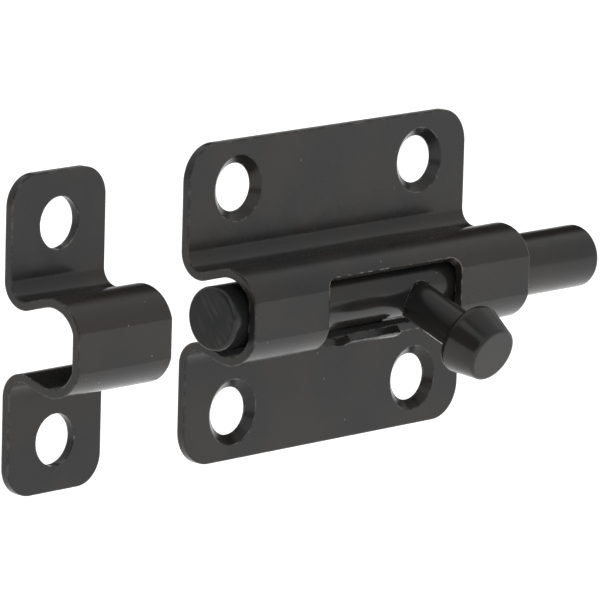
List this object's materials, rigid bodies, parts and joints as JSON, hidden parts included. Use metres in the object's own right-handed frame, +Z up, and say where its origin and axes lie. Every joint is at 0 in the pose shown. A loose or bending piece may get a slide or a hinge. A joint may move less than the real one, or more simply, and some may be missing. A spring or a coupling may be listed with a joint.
{
  "type": "barrel bolt latch",
  "caption": "Surface barrel bolt for a door or cabinet: a round rod slides in a pressed case and locks when its knob is turned down behind a lip, with a matching keeper to take the rod.",
  "frame": {"origin": "centre of the case's screw pattern, on the back face of its plate, which is the door's surface", "axes": "+Z up with the case on an upright door and the knob hanging down, +Y into the door so that the front faces -Y, +X along the rod from the keeper towards the rod's tail"},
  "size_m": [0.0948, 0.0249, 0.04],
  "materials": {
    "pressed_steel": "semi-gloss black coating on pressed sheet",
    "rod_steel": "semi-gloss black coating on round bar",
    "knob_steel": "semi-gloss black coating on a turned knob",
    "spring_steel": "plain spring strip"
  },
  "bodies": {
    "case": {"case_plate": "pressed_steel", "keeper": "pressed_steel"},
    "slider": {"friction_clip": "spring_steel"},
    "bolt": {"bolt_rod": "rod_steel", "knob": "knob_steel"}
  },
  "joints": [
    {"name": "bolt_slide", "type": "slide", "parent": "case", "child": "slider", "axis": [1, 0, 0], "range_m": [-0.0152, 0.0034]},
    {"name": "knob_turn", "type": "hinge", "parent": "slider", "child": "bolt", "pos_m": [0, -0.00745, 0], "axis": [1, 0, 0], "range_deg": [-28, 39]}
  ]
}
